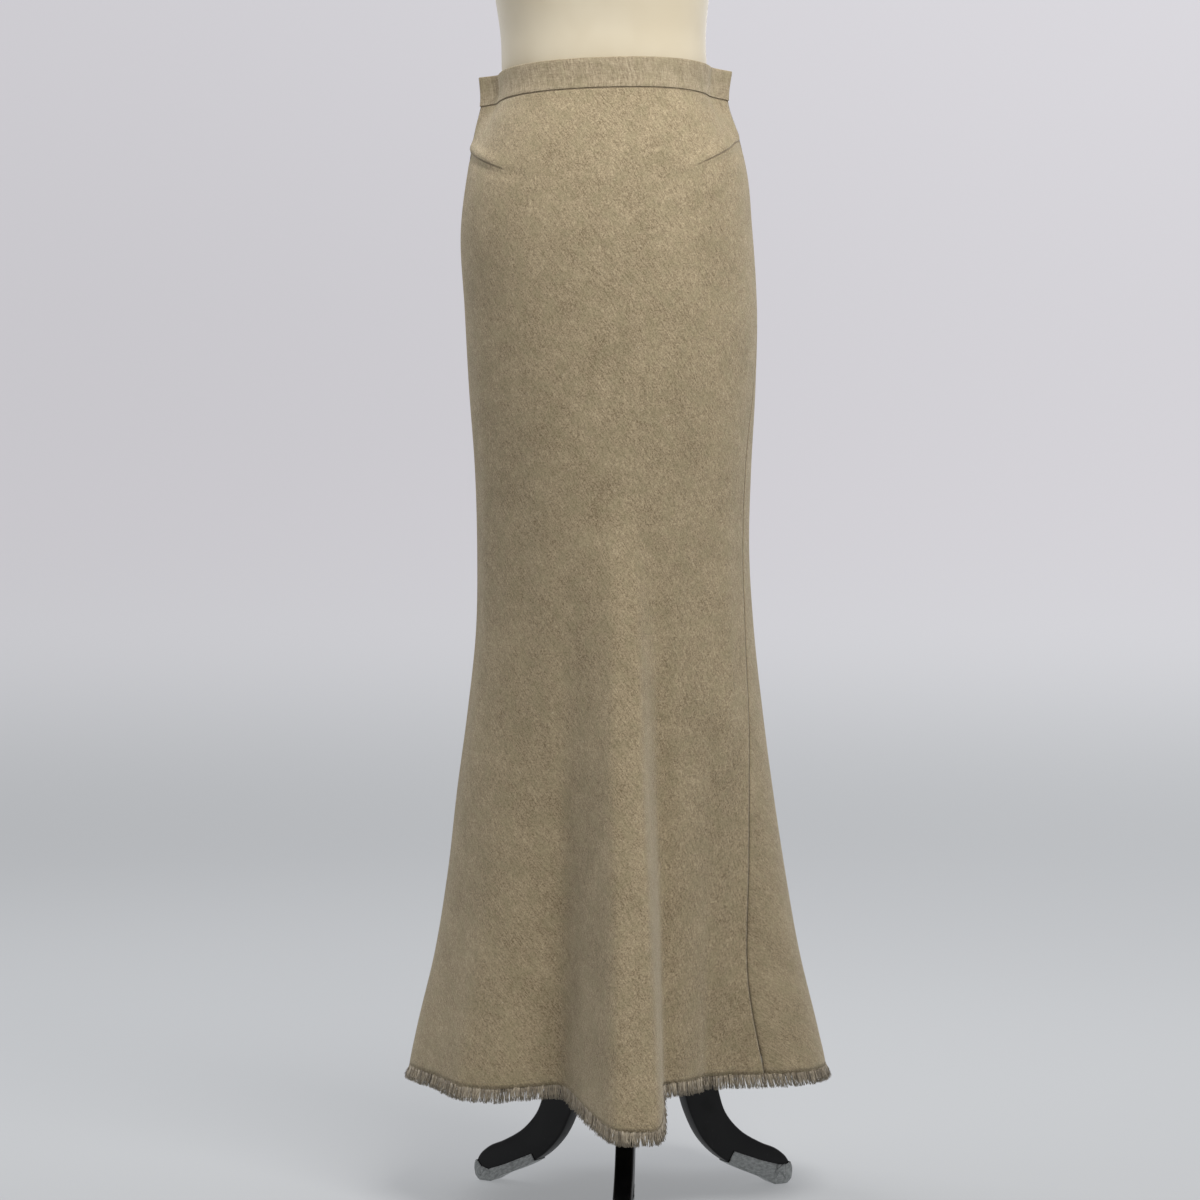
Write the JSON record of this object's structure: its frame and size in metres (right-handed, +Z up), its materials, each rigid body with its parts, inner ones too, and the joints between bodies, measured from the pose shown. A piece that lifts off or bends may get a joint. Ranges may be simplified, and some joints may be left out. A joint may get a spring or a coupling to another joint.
{
  "type": "maxi skirt on dress form",
  "caption": "Bias-cut linen maxi skirt with a straight waistband, flared frayed hem and concealed back zip, on a limbless dress form with a three-legged stand.",
  "frame": {"origin": "on the floor, below the middle of the object's bounding box; the stand's post is 12.5 mm towards +X and 19 mm towards +Y of it", "axes": "+Z up, the front of the skirt faces -Y, +X is to the viewer's right when looking at the front"},
  "size_m": [0.4181, 0.4594, 1.5953],
  "materials": {
    "linen": "olive-brown slubby linen, cut on the bias",
    "fringe_yarn": "frayed linen yarn",
    "zip_tape": "woven zip tape and nylon coil",
    "zip_metal": "zip slider and tab, lacquered to match the cloth",
    "form_cloth": "cream jersey stretched over padding",
    "black_lacquer": "semi-gloss black paint",
    "grey_tape": "silver-grey cloth tape, slightly crinkled"
  },
  "bodies": {
    "skirt_and_form": {"skirt_front": "linen", "skirt_back_left": "linen", "skirt_back_right": "linen", "waistband": "linen", "hem_fringe": "fringe_yarn", "zip_tape_left": "zip_tape", "zip_tape_right": "zip_tape", "zip_coil": "zip_tape", "zip_slider": "zip_metal", "form_torso": "form_cloth", "form_neck_cap": "black_lacquer", "form_board": "black_lacquer", "form_post": "black_lacquer", "form_hub": "black_lacquer", "leg_front": "black_lacquer", "leg_right": "black_lacquer", "leg_left": "black_lacquer", "foot_tape_front": "grey_tape", "foot_tape_right": "grey_tape", "foot_tape_left": "grey_tape"},
    "zip_tab": {"zip_pull": "zip_metal"}
  },
  "joints": [
    {"name": "zip_tab_hinge", "type": "hinge", "parent": "skirt_and_form", "child": "zip_tab", "pos_m": [-0.01182, 0.1105, 1.11585], "axis": [1, 0, 0], "range_deg": [0, 150]}
  ]
}
